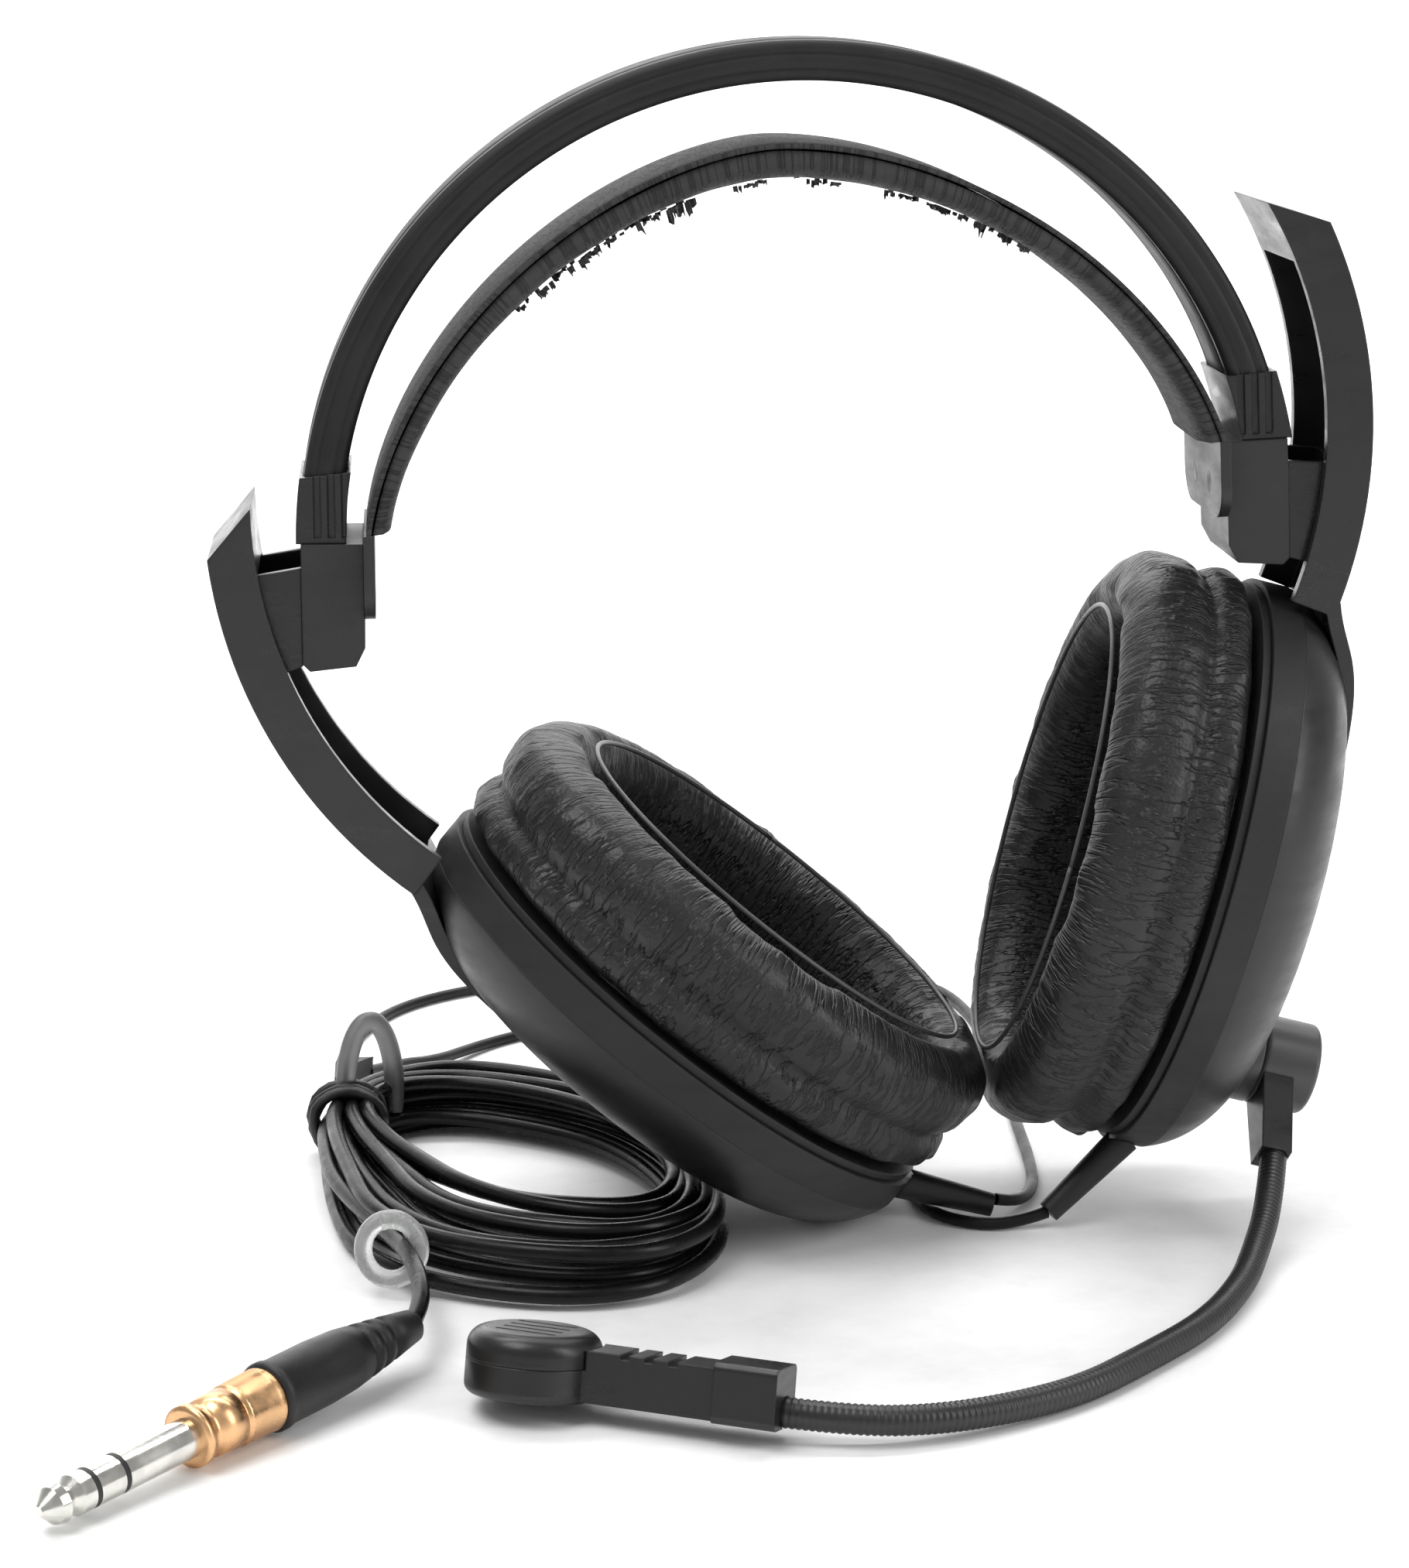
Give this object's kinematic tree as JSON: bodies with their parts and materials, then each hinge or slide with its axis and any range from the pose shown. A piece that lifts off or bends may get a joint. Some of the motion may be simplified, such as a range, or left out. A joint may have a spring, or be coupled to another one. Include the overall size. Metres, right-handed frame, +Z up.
{
  "type": "radio headphones",
  "caption": "Over-ear radio headset with padded suspension headband, sliding arms, flexible boom microphone and a coiled lead with a quarter-inch plug",
  "frame": {"origin": "middle of the box of the headset without its lead, on the surface it stands on", "axes": "+Z up, +X from the left cup to the right cup along the headband, the boom microphone towards -Y"},
  "size_m": [0.223, 0.2965, 0.2089],
  "materials": {
    "arm_plastic": "clean",
    "band_rubber": "worn",
    "block_plastic": "clean",
    "cable_jacket": "clean",
    "carriage_plastic": "clean",
    "clear_tie": "clean",
    "cloth": "clean",
    "driver_steel": "clean",
    "ferrule_plastic": "clean",
    "film": "clean",
    "gooseneck_metal": "clean",
    "hub_grey": "clean",
    "inner_plastic": "clean",
    "mic_plastic": "clean",
    "pad_vinyl": "worn",
    "plug_gold": "clean",
    "plug_steel": "clean",
    "rubber": "clean",
    "screw_steel": "clean",
    "shell_plastic": "clean"
  },
  "bodies": {
    "left_cup": {"left_outer_shell": "shell_plastic", "left_housing_ring": "inner_plastic", "left_baffle": "inner_plastic", "left_baffle_screws": "screw_steel", "left_driver_frame": "driver_steel", "left_diaphragm": "film", "left_damping_felt": "cloth", "left_ear_pad": "pad_vinyl", "left_pad_plate": "inner_plastic", "left_driver_cloth": "cloth", "left_lead_boot": "rubber", "left_pivot_pin": "screw_steel", "left_lead": "cable_jacket", "right_lead": "cable_jacket", "lead_splitter": "rubber", "cable_coil": "cable_jacket", "main_cable": "cable_jacket", "rear_tie": "clear_tie", "front_tie": "clear_tie", "plug_grip": "rubber", "plug_sleeve": "plug_gold", "plug_shank": "plug_steel", "plug_insulators": "rubber"},
    "left_arm": {"left_arm": "arm_plastic"},
    "headband": {"headband": "band_rubber", "band_spring": "screw_steel", "strap_pad": "pad_vinyl", "strap_skin": "pad_vinyl", "left_ferrule": "ferrule_plastic", "left_block": "block_plastic", "left_carriage": "carriage_plastic", "left_strap_tab": "block_plastic", "left_tab_screws": "screw_steel", "right_ferrule": "ferrule_plastic", "right_block": "block_plastic", "right_carriage": "carriage_plastic", "right_strap_tab": "block_plastic", "right_tab_screws": "screw_steel"},
    "right_arm": {"right_arm": "arm_plastic"},
    "right_cup": {"right_outer_shell": "shell_plastic", "right_housing_ring": "inner_plastic", "right_baffle": "inner_plastic", "right_baffle_screws": "screw_steel", "right_driver_frame": "driver_steel", "right_diaphragm": "film", "right_damping_felt": "cloth", "right_ear_pad": "pad_vinyl", "right_pad_plate": "inner_plastic", "right_driver_cloth": "cloth", "right_lead_boot": "rubber", "right_pivot_pin": "screw_steel", "boom_hub_base": "hub_grey"},
    "boom": {"boom_knob": "hub_grey", "boom_holder": "mic_plastic", "gooseneck": "gooseneck_metal", "mic_collar": "mic_plastic", "mic_body": "mic_plastic", "mic_cover": "mic_plastic", "mic_capsule": "screw_steel"}
  },
  "joints": [
    {"name": "left_tilt", "type": "hinge", "parent": "left_cup", "child": "left_arm", "pos_m": [-0.03466, 0.03718, 0.03857], "axis": [-0.0545, -0.9962, -0.068], "range_deg": [0, 6]},
    {"name": "left_slide", "type": "hinge", "parent": "left_arm", "child": "headband", "pos_m": [-0.0152, 0.036, 0.132], "axis": [0, -1, 0], "range_deg": [0, 24]},
    {"name": "right_slide", "type": "hinge", "parent": "headband", "child": "right_arm", "pos_m": [0.0147, 0.036, 0.1406], "axis": [0, -1, 0], "range_deg": [0, 1.2]},
    {"name": "right_tilt", "type": "hinge", "parent": "right_arm", "child": "right_cup", "pos_m": [0.08595, 0.036, 0.07254], "axis": [0, -1, 0], "range_deg": [0, 6]},
    {"name": "boom_swivel", "type": "hinge", "parent": "right_cup", "child": "boom", "pos_m": [0.08758, 0.036, 0.02587], "axis": [-0.9668, 0, 0.2555], "range_deg": [0, 60]}
  ]
}
